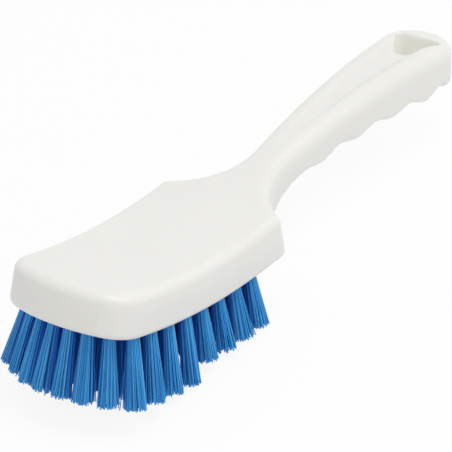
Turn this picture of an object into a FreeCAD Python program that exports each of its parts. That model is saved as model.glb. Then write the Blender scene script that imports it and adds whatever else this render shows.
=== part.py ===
"""Scrub brush: a one-piece block and handle, drilled for bristle tufts that staples hold in their holes.

The brush lies along +X from the front of its head to the end of its handle, and stands on its bristles.
"""
import FreeCAD, Part
import math
import os
from types import SimpleNamespace

Vector = FreeCAD.Vector
AXIS_X, AXIS_Y, AXIS_Z = Vector(1, 0, 0), Vector(0, 1, 0), Vector(0, 0, 1)

# Driving dimensions, in millimetres and degrees. Stations run along X from the front of the head.
SIZES = {
    # Block and handle seen from above
    "overall_length": 272.5,
    "head_width": 55.2,
    "front_radius": 48.0,
    "front_corner_radius": 15.4,
    "shoulder_radius": 4.5,
    "neck_radius": 44.5,
    "waist_station": 140.8,
    "waist_width": 16.7,
    "end_radius": 16.3,
    # Block and handle seen from the side
    "slab_thickness": 18.8,
    "underside_station": 90.5,
    "dish_station": 85.3,
    "dish_radius": 277.0,
    "crest_rise": 13.5,
    "slab_end_station": 120.0,
    "waist_depth": 16.5,
    "neck_station": 158.5,
    "neck_depth": 15.2,
    "first_ridge_station": 166.7,
    "first_ridge_depth": 17.1,
    "last_ridge_depth": 21.4,
    "toe_depth": 25.2,
    "toe_inset": 3.6,
    # Lean of the walls and rounding of the edges
    "front_lean": 14.6,
    "side_draft": 2.8,
    "handle_draft": 0.5,
    "neck_lean": 18.8,
    "head_edge_radius": 4.0,
    "handle_edge_radius": 5.0,
    "end_edge_radius": 6.2,
    "lower_edge_radius": 2.5,
    # Hang hole and thumb groove
    "hole_inset": 11.5,
    "hole_length": 17.5,
    "hole_width": 23.7,
    "hole_point_radius": 5.3,
    "hole_corner_radius": 2.5,
    "hole_rim_radius": 1.2,
    "thumb_start_station": 146.0,
    "thumb_start_width": 6.0,
    "thumb_end_width": 16.0,
    "thumb_depth": 3.0,
    "thumb_lift": 0.15,
    # Bristle field
    "tuft_inset": 4.6,
    "first_row_station": 14.5,
    "row_pitch": 10.9,
    "row_bulge": 10.9,
    "side_lean": 12.0,
    "front_bristle_length": 28.3,
    "rear_bristle_length": 22.8,
    "tuft_tip_diameter": 7.8,
    "tuft_hole_diameter": 5.2,
    "tuft_hole_depth": 9.0,
    "tuft_clearance": 0.1,
    "fold_thickness": 1.2,
    "staple_height": 1.8,
    "staple_thickness": 0.5,
    # Length by which a cutting or trimmed shape runs past the surface it meets
    "overrun": 3.0,
}

# Tufts in each row from the front; the rows after the split are trimmed shorter.
ROW_COUNTS = (8, 6, 7, 6, 7, 6, 7, 7)
FRONT_ROWS = 4
# Share of the front row's bulge that each row keeps.
ROW_BULGE_SHARES = (1.0, 0.62, 0.3, 0.1, 0.0, 0.0, 0.0, 0.0)
# Finger ridges in front of the toe of the handle.
FINGER_RIDGES = 4
# Depth of a finger groove, and of the groove on each side of the toe, as shares of their spacing.
FINGER_SHARE, TOE_SHARE = 0.098, 0.333
# Share of the length behind the waist at which the handle has its crest.
CREST_SHARE = 0.638
# Steps in which the long curves of the side view are drawn.
TOP_STEPS, SLAB_STEPS, THUMB_STEPS = 12, 6, 6
# Steps across the thumb groove, and how flat its floor is.
THUMB_POINTS, THUMB_FLATNESS = 12, 6
# Rounds of levelling the brush on its tips.
TURN_STEPS = 5
# Share of the neck's radius over which the upper edge changes its rounding.
NECK_BLEND_SHARE = 0.8


def make_sheet(document):
    """Puts every driving dimension in its own aliased cell."""
    sheet = document.addObject("Spreadsheet::Sheet", "Sizes")
    for row, (alias, value) in enumerate(SIZES.items(), start=1):
        sheet.set(f"A{row}", alias)
        sheet.set(f"B{row}", str(value))
        sheet.setAlias(f"B{row}", alias)
    document.recompute()
    return sheet


doc = FreeCAD.newDocument("ScrubBrush")
sheet = make_sheet(doc)
size = SimpleNamespace(**{alias: float(sheet.get(alias)) for alias in SIZES})


def arc(start, middle, end):
    return Part.Arc(start, middle, end).toShape()


def line(start, end):
    return Part.makeLine(start, end)


def spline(points):
    curve = Part.BSplineCurve()
    curve.interpolate(points)
    return curve.toShape()


# Places along the handle
def crest_station():
    return size.waist_station + (size.overall_length - size.waist_station) * CREST_SHARE


def toe_station():
    return size.overall_length - size.toe_inset


def finger_pitch():
    """Spacing of the finger grooves, which share the length from the first ridge to the toe."""
    return (toe_station() - size.first_ridge_station) / FINGER_RIDGES


def hole_base_station():
    return size.overall_length - size.hole_inset


# Side view
def crest_radius():
    """Radius of the handle's crest, so that its arc runs into the dish of the head without a kink."""
    span = crest_station() - size.dish_station
    return (span ** 2 + size.crest_rise ** 2) / (2 * size.crest_rise) - size.dish_radius


def top_height(x):
    """Height of the upper surface above the bottom of the dish."""
    crest = crest_radius()
    turn_share = size.dish_radius / (size.dish_radius + crest)
    turn_station = size.dish_station + (crest_station() - size.dish_station) * turn_share
    if x < turn_station:
        return size.dish_radius - math.sqrt(size.dish_radius ** 2 - (x - size.dish_station) ** 2)
    return size.crest_rise - crest + math.sqrt(crest ** 2 - (x - crest_station()) ** 2)


def slab_height(x):
    """Height of the head's underside, which curves with the dish and is lowest a little behind it."""
    radius = size.dish_radius + size.slab_thickness
    return size.dish_radius - math.sqrt(radius ** 2 - (x - size.underside_station) ** 2)


def slab_tilt(x):
    """Angle by which the underside's normal leans towards the handle at a station."""
    return math.asin((x - size.underside_station) / (size.dish_radius + size.slab_thickness))


def ridge_depth(x):
    """Depth of the handle along the crests of its finger ridges."""
    share = (x - size.first_ridge_station) / (finger_pitch() * (FINGER_RIDGES - 1))
    return size.first_ridge_depth + (size.last_ridge_depth - size.first_ridge_depth) * share


def stations(first, last, steps):
    """Evenly spaced stations, both ends included."""
    return [first + (last - first) * index / steps for index in range(steps + 1)]


def underside_points(front):
    """The head's underside, then the handle's: waist, neck, finger ridges and grooves, and the toe."""
    ridges = [size.first_ridge_station + finger_pitch() * index for index in range(FINGER_RIDGES)]
    grooves = [ridge + finger_pitch() / 2 for ridge in ridges[:-1]]
    toe_grooves = [toe_station() - finger_pitch() / 2, toe_station() + finger_pitch() / 2]
    depths = [(size.waist_station, size.waist_depth), (size.neck_station, size.neck_depth)]
    depths += [(x, ridge_depth(x)) for x in ridges]
    depths += [(x, ridge_depth(x) - finger_pitch() * FINGER_SHARE) for x in grooves]
    depths += [(x, size.toe_depth - finger_pitch() * TOE_SHARE) for x in toe_grooves]
    depths.append((toe_station(), size.toe_depth))
    points = [Vector(x, 0, slab_height(x)) for x in stations(front, size.slab_end_station, SLAB_STEPS)]
    return points + [Vector(x, 0, top_height(x) - depth) for x, depth in sorted(depths)]


def side_face():
    """Side view of block and handle, longer than both at each end."""
    front = -size.slab_thickness - size.overrun
    lower = underside_points(front)
    end = lower[-1].x
    upper = [Vector(x, 0, top_height(x)) for x in stations(front, end, TOP_STEPS)]
    edges = [spline(upper), line(upper[-1], lower[-1]), spline(lower), line(lower[0], upper[0])]
    return Part.Face(Part.Wire(Part.__sortEdges__(edges)))


# Plan view
def plan_wire(height):
    """Outline of block and handle at a height; its walls lean outwards going down from the front edge."""
    drop = top_height(0) - height
    front = -drop * math.tan(math.radians(size.front_lean))
    half_width = size.head_width / 2 + drop * math.tan(math.radians(size.side_draft))
    spread = drop * math.tan(math.radians(size.handle_draft))
    waist = size.waist_width / 2 + spread
    neck = size.neck_radius - drop * math.tan(math.radians(size.neck_lean))
    end_radius = size.end_radius + spread
    end_centre = Vector(size.overall_length - size.end_radius, 0, height)

    front_centre = Vector(front + size.front_radius, 0, height)
    reach = size.front_radius - size.front_corner_radius
    corner_y = half_width - size.front_corner_radius
    corner = Vector(front_centre.x - math.sqrt(reach ** 2 - corner_y ** 2), corner_y, height)
    corner_start = front_centre + (corner - front_centre).normalize() * size.front_radius
    corner_end = Vector(corner.x, half_width, height)

    neck_centre = Vector(size.waist_station, waist + neck, height)
    shoulder_y = half_width - size.shoulder_radius
    reach = neck + size.shoulder_radius
    shoulder_x = neck_centre.x - math.sqrt(reach ** 2 - (neck_centre.y - shoulder_y) ** 2)
    shoulder = Vector(shoulder_x, shoulder_y, height)
    shoulder_start = Vector(shoulder.x, half_width, height)
    shoulder_end = shoulder + (neck_centre - shoulder).normalize() * size.shoulder_radius

    across = end_centre - neck_centre
    flare = math.asin((neck + end_radius) / across.Length) + math.atan2(across.y, across.x)
    down = Vector(math.sin(flare), -math.cos(flare), 0)
    neck_end = neck_centre + down * neck
    flare_end = end_centre - down * end_radius

    def between(centre, first, last):
        """Middle of an arc that turns less than half a circle."""
        radius = (first - centre).Length
        return centre + ((first - centre) + (last - centre)).normalize() * radius

    def other(point):
        return Vector(point.x, -point.y, point.z)

    half = [
        (corner_start, between(corner, corner_start, corner_end), corner_end),
        (corner_end, shoulder_start),
        (shoulder_start, between(shoulder, shoulder_start, shoulder_end), shoulder_end),
        (shoulder_end, between(neck_centre, shoulder_end, neck_end), neck_end),
        (neck_end, flare_end),
    ]
    tip = Vector(end_centre.x + end_radius, 0, height)
    pieces = half + [(flare_end, tip, other(flare_end))]
    pieces += [tuple(other(point) for point in reversed(piece)) for piece in reversed(half)]
    pieces.append((other(corner_start), Vector(front, 0, height), corner_start))
    return Part.Wire([arc(*piece) if len(piece) == 3 else line(*piece) for piece in pieces])


def feature(name, shape):
    """A drawn outline as an object of the document."""
    item = doc.addObject("Part::Feature", name)
    item.Shape = shape
    return item


def make_blank():
    """Block and handle with sharp edges: what the side view and the plan view have in common."""
    side = doc.addObject("Part::Extrusion", "SideView")
    side.Base = feature("SideOutline", side_face())
    side.DirMode = "Custom"
    side.Dir = AXIS_Y
    side.Symmetric = True
    side.Solid = True
    side.setExpression("LengthFwd", "2 * Sizes.head_width")

    upper = top_height(0) + size.overrun
    lower = slab_height(size.underside_station) - size.toe_depth
    plan = doc.addObject("Part::Loft", "PlanView")
    plan.Sections = [feature("UpperOutline", plan_wire(upper)), feature("LowerOutline", plan_wire(lower))]
    plan.Solid = True
    plan.Ruled = True

    blank = doc.addObject("Part::Common", "Blank")
    blank.Base, blank.Tool = side, plan
    doc.recompute()
    return blank


def edge_numbers(shape, face):
    """Numbers of a face's edges in the whole shape, as a fillet lists them."""
    pairs = enumerate(shape.Edges, start=1)
    return [number for number, edge in pairs if any(edge.isSame(own) for own in face.Edges)]


def broad_faces(shape):
    """The upper and the lower face of the blank."""
    broadest = sorted(shape.Faces, key=lambda face: face.Area)[-2:]
    return sorted(broadest, key=lambda face: -face.CenterOfMass.z)


def upper_radius(x):
    """Rounding of the upper edge, which grows along the neck and then along the handle to its end."""
    if x > size.waist_station:
        share = (x - size.waist_station) / (size.overall_length - size.end_radius - size.waist_station)
        return size.handle_edge_radius + (size.end_edge_radius - size.handle_edge_radius) * min(share, 1)
    neck_start = size.waist_station - size.neck_radius * NECK_BLEND_SHARE
    share = max((x - neck_start) / (size.waist_station - neck_start), 0)
    return size.head_edge_radius + (size.handle_edge_radius - size.head_edge_radius) * share


def outer_edges(shape):
    """Numbers of the upper and lower edges of the blank, and the rounding at both ends of each."""
    upper, lower = broad_faces(shape)
    edges = []
    for number in edge_numbers(shape, upper):
        first, *_, last = shape.Edges[number - 1].Vertexes
        edges.append((number, upper_radius(first.X), upper_radius(last.X)))
    for number in edge_numbers(shape, lower):
        edges.append((number, size.lower_edge_radius, size.lower_edge_radius))
    return edges


def fillet(name, base, edges):
    result = doc.addObject("Part::Fillet", name)
    result.Base, result.Edges = base, edges
    doc.recompute()
    return result


def hole_wire():
    """Hang hole: a triangle with rounded corners, its point towards the head."""
    tip, radius = size.hole_point_radius, size.hole_corner_radius
    half_width, run = size.hole_width / 2, size.hole_length - tip
    point_angle = math.acos(tip / math.hypot(half_width, run)) - math.atan2(run, half_width)
    base_angle = (math.pi / 2 - point_angle) / 2
    base = hole_base_station()
    floor = -size.toe_depth - size.overrun
    point = Vector(base - run, 0, floor)
    corner = Vector(base - radius, half_width - radius / math.tan(base_angle), floor)
    other_corner = Vector(corner.x, -corner.y, floor)
    outward = Vector(-math.sin(point_angle), math.cos(point_angle), 0)
    other_outward = Vector(outward.x, -outward.y, 0)
    round_off = (outward + AXIS_X).normalize() * radius
    other_round_off = Vector(round_off.x, -round_off.y, 0)
    back = AXIS_X * radius
    return Part.Wire([
        arc(point + other_outward * tip, point - AXIS_X * tip, point + outward * tip),
        line(point + outward * tip, corner + outward * radius),
        arc(corner + outward * radius, corner + round_off, corner + back),
        line(corner + back, other_corner + back),
        arc(other_corner + back, other_corner + other_round_off, other_corner + other_outward * radius),
        line(other_corner + other_outward * radius, point + other_outward * tip),
    ])


def rim_edges(shape):
    """Numbers of the edges where the walls of the hang hole meet the outside, and their rounding."""
    bounds = hole_wire().BoundBox
    bounds.enlarge(size.hole_corner_radius)
    walls = []
    for face in shape.Faces:
        box = face.BoundBox
        along = min(box.XMin - bounds.XMin, bounds.XMax - box.XMax)
        across = min(box.YMin - bounds.YMin, bounds.YMax - box.YMax)
        if min(along, across) > 0:
            walls.append(face)
    sides = [number for wall in walls for number in edge_numbers(shape, wall)]
    rims = sorted(number for number in set(sides) if sides.count(number) == 1)
    return [(number, size.hole_rim_radius, size.hole_rim_radius) for number in rims]


def make_hang_hole():
    hole = doc.addObject("Part::Extrusion", "HangHole")
    hole.Base = feature("HoleOutline", hole_wire())
    hole.DirMode = "Custom"
    hole.Dir = AXIS_Z
    hole.Solid = True
    hole.setExpression("LengthFwd", "2 * (Sizes.toe_depth + Sizes.crest_rise)")
    return hole


def thumb_wire(x, grown_share):
    """Section of the thumb groove: flat floor, sides that run out softly, closed above the handle."""
    half_width = (size.thumb_start_width + (size.thumb_end_width - size.thumb_start_width) * grown_share) / 2
    depth = size.thumb_depth * grown_share + size.thumb_lift
    top = top_height(x) + size.thumb_lift
    trough = []
    for across_share in stations(-1, 1, THUMB_POINTS):
        sag = depth * (1 - across_share ** THUMB_FLATNESS) ** 2
        trough.append(Vector(x, half_width * across_share, top - sag))
    left, right = trough[0] + AXIS_Z * size.overrun, trough[-1] + AXIS_Z * size.overrun
    return Part.Wire([spline(trough), line(trough[-1], right), line(right, left), line(left, trough[0])])


def make_thumb_groove():
    """Trough along the top of the handle that widens and deepens from the neck to the hang hole."""
    end = hole_base_station() - size.hole_corner_radius
    sections = []
    for index, x in enumerate(stations(size.thumb_start_station, end, THUMB_STEPS)):
        sections.append(feature(f"ThumbSection{index}", thumb_wire(x, index / THUMB_STEPS)))
    groove = doc.addObject("Part::Loft", "ThumbGroove")
    groove.Sections = sections
    groove.Solid = True
    return groove


def cut(name, base, tool):
    result = doc.addObject("Part::Cut", name)
    result.Base, result.Tool = base, tool
    doc.recompute()
    return result


# Bristle field
def tuft_numbers():
    """Row and place in the row of every tuft, both counted from zero."""
    return [(row, place) for row, count in enumerate(ROW_COUNTS) for place in range(count)]


def tuft_placement(row, place):
    """Where a tuft leaves the block; its own Z runs up its hole, which leans outwards at the sides."""
    half_field = size.head_width / 2 - size.tuft_inset
    half_field += size.slab_thickness * math.tan(math.radians(size.side_draft))
    across_share = 2 * place / (ROW_COUNTS[row] - 1) - 1
    bulge = size.row_bulge * ROW_BULGE_SHARES[row] * (1 - across_share ** 2)
    x = size.first_row_station + size.row_pitch * row - bulge
    root = Vector(x, half_field * across_share, slab_height(x))
    lean = FreeCAD.Rotation(AXIS_X, size.side_lean * across_share)
    return FreeCAD.Placement(root, FreeCAD.Rotation(AXIS_Y, -math.degrees(slab_tilt(x))) * lean)


def bristle_length_alias(row):
    return "front_bristle_length" if row < FRONT_ROWS else "rear_bristle_length"


def raised(placement, height):
    """A placement moved along its own Z."""
    return placement * FreeCAD.Placement(AXIS_Z * height, FreeCAD.Rotation())


def make_bores():
    """The blind holes of the head, one for each tuft."""
    bores = []
    for row, place in tuft_numbers():
        bore = doc.addObject("Part::Cylinder", f"Bore{row + 1}_{place + 1}")
        bore.setExpression("Radius", "Sizes.tuft_hole_diameter / 2")
        bore.setExpression("Height", "Sizes.tuft_hole_depth + Sizes.overrun")
        bore.Placement = raised(tuft_placement(row, place), -size.overrun)
        bores.append(bore)
    group = doc.addObject("Part::Compound", "Bores")
    group.Links = bores
    return group


def make_tuft(row, place):
    """A tuft as one solid: its root in the hole, slotted for the staple, and its flare to the tip."""
    body = doc.addObject("PartDesign::Body", f"Tuft{row + 1}_{place + 1}")
    body.Label = f"tuft_row{row + 1}_{place + 1}"
    root_radius = "Sizes.tuft_hole_diameter / 2 - Sizes.tuft_clearance"
    length = f"Sizes.{bristle_length_alias(row)}"

    root = doc.addObject("PartDesign::AdditiveCylinder", f"Root{row + 1}_{place + 1}")
    body.addObject(root)
    root.setExpression("Radius", root_radius)
    root.setExpression("Height", "Sizes.tuft_hole_depth - Sizes.tuft_clearance")

    flare = doc.addObject("PartDesign::AdditiveCone", f"Flare{row + 1}_{place + 1}")
    body.addObject(flare)
    flare.setExpression("Radius1", "Sizes.tuft_tip_diameter / 2")
    flare.setExpression("Radius2", root_radius)
    flare.setExpression("Height", length)
    flare.setExpression("Placement.Base.z", f"-{length}")

    slot = doc.addObject("PartDesign::SubtractiveBox", f"Slot{row + 1}_{place + 1}")
    body.addObject(slot)
    slot.setExpression("Length", "Sizes.tuft_hole_diameter")
    slot.setExpression("Width", "Sizes.staple_thickness + 2 * Sizes.tuft_clearance")
    slot.setExpression("Height", "Sizes.staple_height + 2 * Sizes.tuft_clearance")
    slot.setExpression("Placement.Base.x", "-Sizes.tuft_hole_diameter / 2")
    slot.setExpression("Placement.Base.y", "-Sizes.staple_thickness / 2 - Sizes.tuft_clearance")
    slot_floor = "Sizes.tuft_hole_depth - Sizes.fold_thickness - Sizes.staple_height - Sizes.tuft_clearance"
    slot.setExpression("Placement.Base.z", slot_floor)

    body.Tip = slot
    body.Placement = tuft_placement(row, place)
    return body


def make_staples(name, rows):
    """The flat wire staples of some rows, each lying across its hole inside the fold of its tuft."""
    length = size.tuft_hole_diameter - 2 * size.tuft_clearance
    corner = Vector(-length / 2, -size.staple_thickness / 2, 0)
    height = size.tuft_hole_depth - size.fold_thickness - size.staple_height
    staples = []
    for row, place in tuft_numbers():
        if row not in rows:
            continue
        staple = doc.addObject("Part::Box", f"Staple{row + 1}_{place + 1}")
        staple.setExpression("Length", "Sizes.tuft_hole_diameter - 2 * Sizes.tuft_clearance")
        staple.setExpression("Width", "Sizes.staple_thickness")
        staple.setExpression("Height", "Sizes.staple_height")
        lying = FreeCAD.Placement(corner, FreeCAD.Rotation())
        staple.Placement = raised(tuft_placement(row, place), height) * lying
        staples.append(staple)
    group = doc.addObject("Part::Compound", name)
    group.Label = name
    group.Links = staples
    return group


def lowest_rim(rows, turn):
    """Station and height of the lowest point on the tip rims of some rows, with the brush turned about Y."""
    rims = []
    for row, place in tuft_numbers():
        if row not in rows:
            continue
        placement = FreeCAD.Placement(Vector(), turn) * tuft_placement(row, place)
        tip = raised(placement, -getattr(size, bristle_length_alias(row))).Base
        axis = placement.Rotation.multVec(AXIS_Z)
        rims.append((tip.z - size.tuft_tip_diameter / 2 * math.sqrt(1 - axis.z ** 2), tip.x))
    height, station = min(rims)
    return station, height


def standing_turn():
    """Turn about Y that sets the longer front tufts and the shorter rear tufts on one level surface."""
    angle = 0
    for _ in range(TURN_STEPS):
        turn = FreeCAD.Rotation(AXIS_Y, angle)
        front_station, front_height = lowest_rim(range(FRONT_ROWS), turn)
        rear_station, rear_height = lowest_rim(range(FRONT_ROWS, len(ROW_COUNTS)), turn)
        angle += math.degrees(math.atan2(rear_height - front_height, rear_station - front_station))
    return FreeCAD.Rotation(AXIS_Y, angle)


def move(items, placement):
    for item in items:
        item.Placement = placement * item.Placement


def stand(items):
    """Sets the brush on its bristle tips, with the origin under the middle of its length."""
    move(items, FreeCAD.Placement(Vector(), standing_turn()))
    box = FreeCAD.BoundBox()
    for item in items:
        box.add(item.Shape.optimalBoundingBox())
    move(items, FreeCAD.Placement(Vector(-box.Center.x, 0, -box.ZMin), FreeCAD.Rotation()))


def make_block():
    """Block and handle in one piece, with its hang hole, thumb groove and tuft holes."""
    blank = make_blank()
    rounded = fillet("Rounded", blank, outer_edges(blank.Shape))
    holed = cut("Holed", rounded, make_hang_hole())
    rimmed = fillet("Rimmed", holed, rim_edges(holed.Shape))
    grooved = cut("Grooved", rimmed, make_thumb_groove())
    block = cut("Block", grooved, make_bores())
    block.Label = "block_and_handle"
    return block


def check(items):
    """Stops if an object of the document has failed or a sub-part has no sound shape."""
    for item in doc.Objects:
        if {"Invalid", "Error"} & set(item.State):
            raise RuntimeError(f"{item.Label} did not recompute: {item.State}")
    for item in items:
        if item.Shape.isNull() or not item.Shape.isValid():
            raise RuntimeError(f"{item.Label} has no sound shape")


def build():
    """Makes every sub-part, stands the brush on its tips and writes the files."""
    items = [make_block()]
    items += [make_tuft(row, place) for row, place in tuft_numbers()]
    items.append(make_staples("front_staples", range(FRONT_ROWS)))
    items.append(make_staples("rear_staples", range(FRONT_ROWS, len(ROW_COUNTS))))
    doc.recompute()
    stand(items)
    doc.recompute()
    check(items)
    os.makedirs("parts", exist_ok=True)
    for item in items:
        item.Shape.exportStep(f"parts/{item.Label}.step")


build()
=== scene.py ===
"""Looks of the scrub brush: a white moulded block and handle, with tufts of blue filaments."""
import math
import random

import bmesh
import bpy
from mathutils import Matrix, Quaternion, Vector


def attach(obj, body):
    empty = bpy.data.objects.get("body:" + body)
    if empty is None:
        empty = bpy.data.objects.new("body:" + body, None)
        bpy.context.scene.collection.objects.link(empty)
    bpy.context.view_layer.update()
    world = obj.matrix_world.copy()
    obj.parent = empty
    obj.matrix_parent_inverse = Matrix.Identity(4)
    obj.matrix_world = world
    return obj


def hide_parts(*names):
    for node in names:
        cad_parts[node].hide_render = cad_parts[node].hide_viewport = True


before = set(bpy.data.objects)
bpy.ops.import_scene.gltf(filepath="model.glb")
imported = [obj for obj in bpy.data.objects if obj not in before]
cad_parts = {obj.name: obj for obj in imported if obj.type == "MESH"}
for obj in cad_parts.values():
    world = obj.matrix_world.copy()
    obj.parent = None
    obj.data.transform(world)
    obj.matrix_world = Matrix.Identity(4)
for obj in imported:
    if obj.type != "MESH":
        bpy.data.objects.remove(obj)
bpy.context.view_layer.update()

# Tufts, in metres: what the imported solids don't say about the filaments in them
HOLE_DEPTH = 0.0089
ROOTED_LENGTH = 0.003
FREE_LENGTH = 0.028
ROOT_RADIUS = 0.00225
TIP_RADIUS = 0.0043
TIP_VARIATION = 0.1
# Tufts that are thinner or thicker than the rest: shares of the radius at the root and at the tip
ODD_TUFTS = {
    "tuft_row1_7": (1.0, 0.86), "tuft_row1_8": (1.0, 0.72),
    "tuft_row7_1": (1.06, 1.05), "tuft_row8_1": (1.06, 1.12), "tuft_row8_2": (1.06, 1.4),
}
PLAIN_TUFT = 1.0, 1.0
# Draws that give each tuft its own filaments
TUFT_SEED, SEED_RANGE = 3, 10000

# Filaments: thickness is a share of the radius, and the core's are the thickest
FILAMENTS = 170
FILAMENT_RADIUS = 0.00021
FILAMENT_SIDES = 5
FILAMENT_POINTS = 7
CORE_THICKNESS = 2.2
GOLDEN_ANGLE = math.radians(137.508)
ANGLE_SWING = 0.25
# Share of the length that the shortest filament lacks, and how few are short
UNEVEN_TRIM, TRIM_POWER = 0.085, 2.5
# Sideways sway at the tip, how late it sets in, and how much further the share of strays goes
WAVINESS, SWAY_POWER = 0.00045, 1.6
STRAY_SHARE, STRAY_REACH = 0.04, 5.0

# Ends of a packed tuft: how deep a slice of its corners makes its tip and its root, and how it is found
TIP_SLICE, ROOT_SLICE = 0.0016, 0.0008
LINE_ROUNDS, CORNER_DIGITS = 4, 6

# Painted shade between tufts: distances at which a neighbour shuts out most of the light, and none of it
NEAR_TUFT, FAR_TUFT = 0.009, 0.018
# How far a point faces its neighbours before it loses light, how fast it then does, and its greatest loss
SHUT_START, SHUT_SLOPE, MOST_SHUT = 0.75, 1.6, 0.95
# Share of that loss that comes back at the tips
TIP_LIGHT = 0.55

# Distance under which two corners of the block's mesh are one, and the angle from which an edge is sharp
MERGE_DISTANCE = 0.000002
SHARP_ANGLE = math.radians(40)

# White plastic: patterns are in clouds to the metre, and shades are stops on a ramp
PLASTIC_SHADES = (0.3, (0.83, 0.823, 0.792)), (0.7, (0.85, 0.843, 0.812))
PLASTIC_CLOUDS, CLOUD_DETAIL = 28.0, 3.0
MOULD_GRAIN, MOULD_DETAIL = 1400.0, 4.0
MOULD_STRENGTH, MOULD_DEPTH = 0.12, 0.00008
PLASTIC_ROUGHNESS = 0.3, 0.44
PLASTIC_IOR = 1.49
SCATTER_SHARE, SCATTER_RADIUS = 0.3, (0.005, 0.0045, 0.003)
# Box round the thin walls of the hang hole, where the light they let through is painted in as a paler colour,
# and its soft edge
HOLE_MIDDLE = (0.1212, 0.0, 0.0381)
HOLE_REACH = (0.0096, 0.0119, 0.007)
HOLE_BLUR = 0.0005
PAINTED_HOLE_LIGHT = (0.97, 0.96, 0.9, 1.0)

# Blue filaments: their colours in the light, and darker colours painted as shade where tufts shut each other
# in
LIT_SHADES = (0.05, (0.018, 0.25, 0.66)), (0.5, (0.045, 0.36, 0.79)), (0.95, (0.115, 0.45, 0.81))
PAINTED_SHADE_COLOURS = (0.05, (0.001, 0.06, 0.53)), (0.95, (0.003, 0.15, 0.75))
STRAND_SHARE = 0.75
FILAMENT_STREAKS, STREAK_DETAIL = 260.0, 2.0
FILAMENT_ROUGHNESS = 0.32, 0.5
FILAMENT_SHINE = 0.3

# Staple wire, with a pattern drawn out along its length
WIRE_SHADES = (0.3, (0.46, 0.46, 0.47)), (0.7, (0.62, 0.62, 0.63))
WIRE_LINES, LINE_DETAIL = (60.0, 4000.0, 4000.0), 3.0
WIRE_ROUGHNESS = 0.22, 0.4

# Studio
WHITE = (1.0, 1.0, 1.0, 1.0)
FLOOR_SIZE, FLOOR_HEIGHT = 8.0, -0.0002
FLOOR_PAINT = (0.92, 0.92, 0.92, 1.0)
FLOOR_GLOW = 0.9
SURROUND_LIGHT = 0.65
KEY_PLACE = Vector((0.1, -0.62, 1.62))
KEY_WIDTH, KEY_POWER = 1.0, 11.5

# Camera of the photograph
CAMERA_PLACE = Vector((-0.7222, -0.4941, 0.5426))
CAMERA_AIM = Vector((-0.0222, 0.0, 0.0270))
CAMERA_ROLL = math.radians(-1.73)
CAMERA_LENS = 199.1

# Places of the colour sockets on a Mix node
FIRST_COLOUR, SECOND_COLOUR, MIXED_COLOUR = 6, 7, 2


# Node trees
def join(tree, socket, value):
    """Links a socket to an output of another node, or sets its value."""
    if isinstance(value, bpy.types.NodeSocket):
        tree.links.new(value, socket)
    else:
        socket.default_value = value


def put(tree, kind, inputs=None, **settings):
    """Adds a node with its settings; each input is a value or an output of another node."""
    node = tree.nodes.new(kind)
    for name, value in settings.items():
        setattr(node, name, value)
    for name, value in (inputs or {}).items():
        join(tree, node.inputs[name], value)
    return node


def work_out(tree, operation, *values):
    """Adds a sum of up to three values and returns its result."""
    node = tree.nodes.new("ShaderNodeMath")
    node.operation = operation
    for socket, value in zip(node.inputs, values):
        join(tree, socket, value)
    return node.outputs["Value"]


def ramp(tree, factor, stops):
    """Colours along a ramp, each stop a position and a colour."""
    node = put(tree, "ShaderNodeValToRGB", {"Fac": factor})
    colours = node.color_ramp.elements
    while len(colours) < len(stops):
        colours.new(1.0)
    for element, (position, colour) in zip(colours, stops):
        element.position = position
        element.color = (*colour, 1.0)
    return node.outputs["Color"]


def spread(tree, factor, low, high):
    """Stretches a value from 0 to 1 over a range."""
    stretched = {"Value": factor, "To Min": low, "To Max": high}
    return put(tree, "ShaderNodeMapRange", stretched).outputs["Result"]


def blend(tree, factor, first, second):
    """Mixes two colours."""
    mixed = {"Factor": factor, FIRST_COLOUR: first, SECOND_COLOUR: second}
    return put(tree, "ShaderNodeMix", mixed, data_type="RGBA").outputs[MIXED_COLOUR]


def grain(tree, place, scale, detail):
    """A cloudy pattern."""
    pattern = {"Vector": place, "Scale": scale, "Detail": detail}
    return put(tree, "ShaderNodeTexNoise", pattern).outputs["Fac"]


def inside(tree, place, middle, reach, blur):
    """1 inside a box and 0 outside it."""
    offset = put(tree, "ShaderNodeVectorMath", {0: place, 1: middle}, operation="SUBTRACT")
    away = put(tree, "ShaderNodeVectorMath", {0: offset.outputs["Vector"]}, operation="ABSOLUTE")
    parts = put(tree, "ShaderNodeSeparateXYZ", {"Vector": away.outputs["Vector"]}).outputs
    shares = []
    for part, half in zip(parts, reach):
        edge = {"Value": part, "From Min": half - blur, "From Max": half + blur, "To Min": 1.0, "To Max": 0.0}
        shares.append(put(tree, "ShaderNodeMapRange", edge).outputs["Result"])
    along, across, up = shares
    return work_out(tree, "MULTIPLY", work_out(tree, "MULTIPLY", along, across), up)


# Finishes
def new_finish(name):
    """A new material, its nodes, its surface shader and its object coordinates."""
    material = bpy.data.materials.new(name)
    material.use_nodes = True
    tree = material.node_tree
    surface = next(node for node in tree.nodes if node.type == "BSDF_PRINCIPLED")
    place = put(tree, "ShaderNodeTexCoord").outputs["Object"]
    return material, tree, surface, place


def dress(tree, surface, values):
    """Sets or links inputs of a surface shader."""
    for name, value in values.items():
        join(tree, surface.inputs[name], value)


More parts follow.
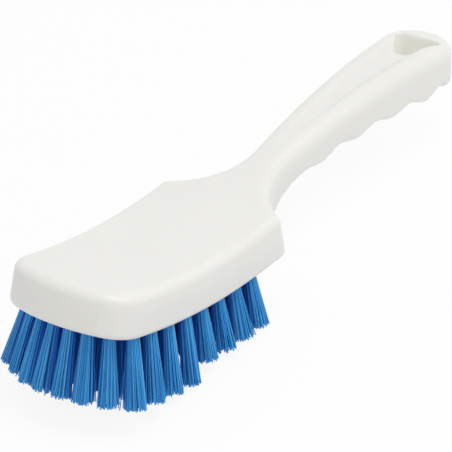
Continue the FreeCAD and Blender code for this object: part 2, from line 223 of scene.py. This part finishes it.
def white_moulded_plastic():
    """Satin white polypropylene with faint clouding and the fine grain of its mould, and painted light: a
    paler colour on the walls of the hang hole.
    """
    material, tree, surface, place = new_finish("white_moulded_plastic")
    colour = ramp(tree, grain(tree, place, PLASTIC_CLOUDS, CLOUD_DETAIL), PLASTIC_SHADES)
    hole_light_box = inside(tree, place, HOLE_MIDDLE, HOLE_REACH, HOLE_BLUR)
    mould = grain(tree, place, MOULD_GRAIN, MOULD_DETAIL)
    relief = {"Height": mould, "Strength": MOULD_STRENGTH, "Distance": MOULD_DEPTH}
    dress(tree, surface, {
        # Painted light: the walls of the hang hole are coloured paler than the rest
        "Base Color": blend(tree, hole_light_box, colour, PAINTED_HOLE_LIGHT),
        "Roughness": spread(tree, mould, *PLASTIC_ROUGHNESS),
        "Normal": put(tree, "ShaderNodeBump", relief).outputs["Normal"],
        "IOR": PLASTIC_IOR,
        "Subsurface Weight": SCATTER_SHARE,
        "Subsurface Radius": SCATTER_RADIUS,
        "Subsurface Scale": 1.0,
    })
    return material


def blue_filament():
    """Blue synthetic filament: each strand has its own shade, and painted shade makes it darker where tufts
    face each other.
    """
    material, tree, surface, place = new_finish("blue_filament")
    strand = put(tree, "ShaderNodeAttribute", attribute_name="strand").outputs["Fac"]
    painted_shade = put(tree, "ShaderNodeAttribute", attribute_name="painted_shade").outputs["Fac"]
    streaks = grain(tree, place, FILAMENT_STREAKS, STREAK_DETAIL)
    streaked = work_out(tree, "MULTIPLY", streaks, 1.0 - STRAND_SHARE)
    shade = work_out(tree, "MULTIPLY_ADD", strand, STRAND_SHARE, streaked)
    lit = ramp(tree, shade, LIT_SHADES)
    deep = ramp(tree, shade, PAINTED_SHADE_COLOURS)
    dress(tree, surface, {
        # Painted shade: darker colours where neighbouring tufts keep out the light
        "Base Color": blend(tree, painted_shade, lit, deep),
        "Roughness": spread(tree, streaks, *FILAMENT_ROUGHNESS),
        "IOR": PLASTIC_IOR,
        "Specular IOR Level": FILAMENT_SHINE,
    })
    return material


def bright_staple_wire():
    """Drawn flat wire, with fine lines along its length."""
    material, tree, surface, place = new_finish("bright_staple_wire")
    drawn = put(tree, "ShaderNodeMapping", {"Vector": place, "Scale": WIRE_LINES}).outputs["Vector"]
    lines = grain(tree, drawn, 1.0, LINE_DETAIL)
    dress(tree, surface, {
        "Base Color": ramp(tree, lines, WIRE_SHADES),
        "Roughness": spread(tree, lines, *WIRE_ROUGHNESS),
        "Metallic": 1.0,
    })
    return material


# Block and handle
def block_and_handle(finish):
    """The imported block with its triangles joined, so that its rounded edges shade smoothly."""
    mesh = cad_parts["block_and_handle"].data.copy()
    mesh.name = "moulded_block"
    work = bmesh.new()
    work.from_mesh(mesh)
    bmesh.ops.remove_doubles(work, verts=work.verts, dist=MERGE_DISTANCE)
    work.to_mesh(mesh)
    work.free()
    mesh.materials.clear()
    mesh.materials.append(finish)
    mesh.shade_smooth()
    mesh.set_sharp_from_angle(angle=SHARP_ANGLE)
    block = bpy.data.objects.new("moulded_block", mesh)
    bpy.context.scene.collection.objects.link(block)
    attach(block, "root")
    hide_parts("block_and_handle")


# Bristles
TUFT_SIZES = (
    ("Filaments", "NodeSocketInt", FILAMENTS),
    ("Root radius", "NodeSocketFloat", ROOT_RADIUS),
    ("Tip radius", "NodeSocketFloat", TIP_RADIUS),
    ("Rooted length", "NodeSocketFloat", ROOTED_LENGTH),
    ("Free length", "NodeSocketFloat", FREE_LENGTH),
    ("Filament radius", "NodeSocketFloat", FILAMENT_RADIUS),
    ("Uneven trim", "NodeSocketFloat", UNEVEN_TRIM),
    ("Waviness", "NodeSocketFloat", WAVINESS),
    ("Seed", "NodeSocketInt", 0),
    ("Finish", "NodeSocketMaterial", None),
)


def tuft_tree():
    """Geometry Nodes for one tuft along +Z: a bundle of filaments that leaves its hole at the origin."""
    tree = bpy.data.node_groups.new("Bristle tuft", "GeometryNodeTree")
    for name, kind, value in TUFT_SIZES:
        socket = tree.interface.new_socket(name=name, in_out="INPUT", socket_type=kind)
        if value is not None:
            socket.default_value = value
    tree.interface.new_socket(name="Tuft", in_out="OUTPUT", socket_type="NodeSocketGeometry")
    size = tree.nodes.new("NodeGroupInput").outputs

    straight = put(tree, "GeometryNodeCurvePrimitiveLine").outputs["Curve"]
    pointed = put(tree, "GeometryNodeResampleCurve", {"Curve": straight, "Count": FILAMENT_POINTS})
    bundle = put(
        tree, "GeometryNodeDuplicateElements",
        {"Geometry": pointed.outputs["Curve"], "Amount": size["Filaments"]}, domain="SPLINE",
    )
    number = bundle.outputs["Duplicate Index"]
    along = put(tree, "GeometryNodeSplineParameter").outputs["Factor"]

    def chance(turn):
        """A value from 0 to 1 for each filament; each turn gives another."""
        seed = work_out(tree, "ADD", size["Seed"], turn)
        node = put(tree, "FunctionNodeRandomValue", {"ID": number, "Seed": seed}, data_type="FLOAT")
        return node.outputs[1]

    def swing(turn):
        """A value from -1 to 1 for each filament."""
        return work_out(tree, "MULTIPLY_ADD", chance(turn), 2.0, -1.0)

    # Height of each point above the mouth of the hole; a few filaments are cut short
    few = work_out(tree, "POWER", chance(1), TRIM_POWER)
    cut_short = work_out(tree, "MULTIPLY", few, size["Uneven trim"])
    kept_share = work_out(tree, "SUBTRACT", 1.0, cut_short)
    kept_length = work_out(tree, "MULTIPLY", size["Free length"], kept_share)
    whole_length = work_out(tree, "ADD", kept_length, size["Rooted length"])
    from_root = work_out(tree, "MULTIPLY", along, whole_length)
    height = work_out(tree, "SUBTRACT", from_root, size["Rooted length"])
    free_share = work_out(tree, "DIVIDE", work_out(tree, "MAXIMUM", height, 0.0), size["Free length"])

    # Place of each filament across the tuft, which widens towards its tip
    filled = work_out(tree, "DIVIDE", work_out(tree, "ADD", number, 0.5), size["Filaments"])
    out_share = work_out(tree, "SQRT", filled)
    flare = work_out(tree, "SUBTRACT", size["Tip radius"], size["Root radius"])
    widened = work_out(tree, "MULTIPLY_ADD", flare, free_share, size["Root radius"])
    out = work_out(tree, "MULTIPLY", out_share, widened)
    turned = work_out(tree, "MULTIPLY", swing(2), ANGLE_SWING)
    angle = work_out(tree, "MULTIPLY_ADD", number, GOLDEN_ANGLE, turned)
    across = work_out(tree, "MULTIPLY", out, work_out(tree, "COSINE", angle))
    aside = work_out(tree, "MULTIPLY", out, work_out(tree, "SINE", angle))

    # Sway that grows towards the tip, far more in the few strays
    stray = work_out(tree, "LESS_THAN", chance(3), STRAY_SHARE)
    reach = work_out(tree, "MULTIPLY_ADD", stray, STRAY_REACH, 1.0)
    bend = work_out(tree, "MULTIPLY", work_out(tree, "POWER", free_share, SWAY_POWER), reach)
    sway = work_out(tree, "MULTIPLY", bend, size["Waviness"])
    x = work_out(tree, "MULTIPLY_ADD", swing(4), sway, across)
    y = work_out(tree, "MULTIPLY_ADD", swing(5), sway, aside)
    place = put(tree, "ShaderNodeCombineXYZ", {"X": x, "Y": y, "Z": height})
    placed = put(
        tree, "GeometryNodeSetPosition",
        {"Geometry": bundle.outputs["Geometry"], "Position": place.outputs["Vector"]},
    )

    # The filaments hidden in the core are thicker, so that no light shows through the tuft
    thickness = work_out(tree, "MULTIPLY_ADD", out_share, 1.0 - CORE_THICKNESS, CORE_THICKNESS)
    sized = put(
        tree, "GeometryNodeSetCurveRadius", {"Curve": placed.outputs["Geometry"], "Radius": thickness},
    )
    shaded = put(
        tree, "GeometryNodeStoreNamedAttribute",
        {"Geometry": sized.outputs["Curve"], "Name": "strand", "Value": chance(6)},
        data_type="FLOAT", domain="POINT",
    )
    section = put(
        tree, "GeometryNodeCurvePrimitiveCircle",
        {"Resolution": FILAMENT_SIDES, "Radius": size["Filament radius"]},
    )
    round_curves = {
        "Curve": shaded.outputs["Geometry"], "Profile Curve": section.outputs["Curve"], "Fill Caps": True,
    }
    thick = put(tree, "GeometryNodeCurveToMesh", round_curves)
    real = put(tree, "GeometryNodeRealizeInstances", {"Geometry": thick.outputs["Mesh"]})
    finish = {"Geometry": real.outputs["Geometry"], "Material": size["Finish"]}
    finished = put(tree, "GeometryNodeSetMaterial", finish)
    put(tree, "NodeGroupOutput", {"Tuft": finished.outputs["Geometry"]})
    return tree


def tuft_line(node):
    """Middle of the tip and of the root of a packed tuft."""
    corners = {tuple(round(part, CORNER_DIGITS) for part in corner.co) for corner in node.data.vertices}
    corners = [Vector(corner) for corner in corners]
    low = min(corners, key=lambda corner: corner.z)
    far = max(corners, key=lambda corner: (corner - low).length)
    ends = low, far
    for _ in range(LINE_ROUNDS):
        run = (ends[1] - ends[0]).normalized()
        heights = [corner.dot(run) for corner in corners]
        lowest, highest = min(heights), max(heights)
        tip = [corner for corner, height in zip(corners, heights) if height < lowest + TIP_SLICE]
        root = [corner for corner, height in zip(corners, heights) if height > highest - ROOT_SLICE]
        ends = sum(tip, Vector()) / len(tip), sum(root, Vector()) / len(root)
    return ends


def tuft_mesh(tree, name, given):
    """One tuft from its tree, as a plain mesh along +Z."""
    maker = bpy.data.objects.new(name, bpy.data.meshes.new(name))
    bpy.context.scene.collection.objects.link(maker)
    modifier = maker.modifiers.new("Bristle tuft", "NODES")
    modifier.node_group = tree
    for socket in tree.interface.items_tree:
        if socket.in_out == "INPUT" and socket.name in given:
            modifier[socket.identifier] = given[socket.name]
    bpy.context.view_layer.update()
    evaluated = maker.evaluated_get(bpy.context.evaluated_depsgraph_get())
    mesh = bpy.data.meshes.new_from_object(evaluated)
    bpy.data.objects.remove(maker)
    return mesh


def tuft_neighbours(mouth, mouths):
    """Way to each tuft near one, and how much of its light that tuft shuts out."""
    near = []
    for other in mouths:
        gap = (other - mouth).length
        if 0.0 < gap < FAR_TUFT:
            closeness = min((FAR_TUFT - gap) / (FAR_TUFT - NEAR_TUFT), 1.0)
            near.append(((other - mouth) / gap, closeness))
    return near


def shut_in(mesh, mouth, tip, neighbours):
    """Stores, as painted shade, how far other tufts keep the light from each point of a tuft, less so towards
    its tip.
    """
    length = (tip - mouth).length
    down = (tip - mouth) / length
    share = mesh.attributes.new("painted_shade", "FLOAT", "POINT")
    for point, value in zip(mesh.vertices, share.data):
        out = point.co - mouth
        along = out.dot(down)
        out = (out - down * along).normalized()
        facing = sum(max(out.dot(way), 0.0) * closeness for way, closeness in neighbours)
        shut = min(max(SHUT_SLOPE * (facing - SHUT_START), 0.0), MOST_SHUT)
        value.value = shut * (1.0 - TIP_LIGHT * min(max(along / length, 0.0), 1.0))


def bristle_rows(finish):
    """Every row of tufts as one piece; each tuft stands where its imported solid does."""
    tree = tuft_tree()
    chance = random.Random(TUFT_SEED)
    rows, lines = {}, {}
    for name in sorted(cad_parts):
        if name.startswith("tuft_row"):
            rows.setdefault(name.split("_")[1], []).append(name)
            tip, root = tuft_line(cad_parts[name])
            down = (tip - root).normalized()
            lines[name] = (root + down * HOLE_DEPTH, tip, down)
    mouths = [mouth for mouth, _, _ in lines.values()]
    for row, names in rows.items():
        bundle = bmesh.new()
        for name in names:
            mouth, tip, down = lines[name]
            root_share, tip_share = ODD_TUFTS.get(name, PLAIN_TUFT)
            given = {
                "Seed": chance.randrange(SEED_RANGE), "Free length": (tip - mouth).length, "Finish": finish,
                "Root radius": ROOT_RADIUS * root_share,
                "Tip radius": TIP_RADIUS * tip_share * (1.0 + TIP_VARIATION * chance.uniform(-1.0, 1.0)),
            }
            mesh = tuft_mesh(tree, name, given)
            mesh.transform(Matrix.Translation(mouth) @ down.to_track_quat("Z", "Y").to_matrix().to_4x4())
            shut_in(mesh, mouth, tip, tuft_neighbours(mouth, mouths))
            bundle.from_mesh(mesh)
            bpy.data.meshes.remove(mesh)
        mesh = bpy.data.meshes.new("bristles_" + row)
        bundle.to_mesh(mesh)
        bundle.free()
        mesh.materials.append(finish)
        mesh.shade_smooth()
        bristles = bpy.data.objects.new("bristles_" + row, mesh)
        bpy.context.scene.collection.objects.link(bristles)
        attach(bristles, "root")
        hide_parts(*names)


def staples(finish):
    """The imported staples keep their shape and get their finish."""
    for name in ("front_staples", "rear_staples"):
        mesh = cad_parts[name].data
        mesh.materials.clear()
        mesh.materials.append(finish)


# Studio
def seen_directly(tree):
    """1 for rays from the camera, and for rays that a shiny or clear surface sends on."""
    path = put(tree, "ShaderNodeLightPath").outputs
    mirrored = work_out(tree, "MAXIMUM", path["Is Glossy Ray"], path["Is Transmission Ray"])
    return work_out(tree, "MAXIMUM", path["Is Camera Ray"], mirrored)


def pale_floor():
    """A pale floor that keeps the shadow and looks almost white."""
    bpy.ops.mesh.primitive_plane_add(size=FLOOR_SIZE, location=(0.0, 0.0, FLOOR_HEIGHT))
    floor = bpy.context.object
    floor.name = "pale_floor"
    material = bpy.data.materials.new("pale_floor")
    material.use_nodes = True
    tree = material.node_tree
    tree.nodes.clear()
    paint = put(tree, "ShaderNodeBsdfDiffuse", {"Color": FLOOR_PAINT})
    glow = put(tree, "ShaderNodeEmission", {"Color": WHITE})
    mixed = put(tree, "ShaderNodeMixShader", {
        "Fac": spread(tree, seen_directly(tree), 0.0, FLOOR_GLOW),
        1: paint.outputs["BSDF"],
        2: glow.outputs["Emission"],
    })
    put(tree, "ShaderNodeOutputMaterial", {"Surface": mixed.outputs["Shader"]})
    floor.data.materials.append(material)


def white_surround():
    """White where the camera sees it; its light on the brush is softer."""
    world = bpy.data.worlds.new("white_surround")
    world.use_nodes = True
    bpy.context.scene.world = world
    tree = world.node_tree
    tree.nodes.clear()
    strength = spread(tree, seen_directly(tree), SURROUND_LIGHT, 1.0)
    shown = put(tree, "ShaderNodeBackground", {"Color": WHITE, "Strength": strength})
    put(tree, "ShaderNodeOutputWorld", {"Surface": shown.outputs["Background"]})


def key_softbox():
    """A square lamp above the brush that faces it."""
    lamp = bpy.data.lights.new("key_softbox", "AREA")
    lamp.size = KEY_WIDTH
    lamp.energy = KEY_POWER
    holder = bpy.data.objects.new("key_softbox", lamp)
    holder.location = KEY_PLACE
    holder.rotation_euler = (CAMERA_AIM - KEY_PLACE).to_track_quat("-Z", "Y").to_euler()
    bpy.context.scene.collection.objects.link(holder)


def camera():
    """The photograph's camera."""
    view = bpy.data.cameras.new("camera")
    view.lens = CAMERA_LENS
    holder = bpy.data.objects.new("camera", view)
    facing = (CAMERA_AIM - CAMERA_PLACE).to_track_quat("-Z", "Y")
    holder.location = CAMERA_PLACE
    holder.rotation_euler = (facing @ Quaternion((0.0, 0.0, 1.0), CAMERA_ROLL)).to_euler()
    bpy.context.scene.collection.objects.link(holder)
    bpy.context.scene.camera = holder


block_and_handle(white_moulded_plastic())
bristle_rows(blue_filament())
staples(bright_staple_wire())
pale_floor()
white_surround()
key_softbox()
camera()
bpy.context.scene.view_settings.view_transform = "Standard"
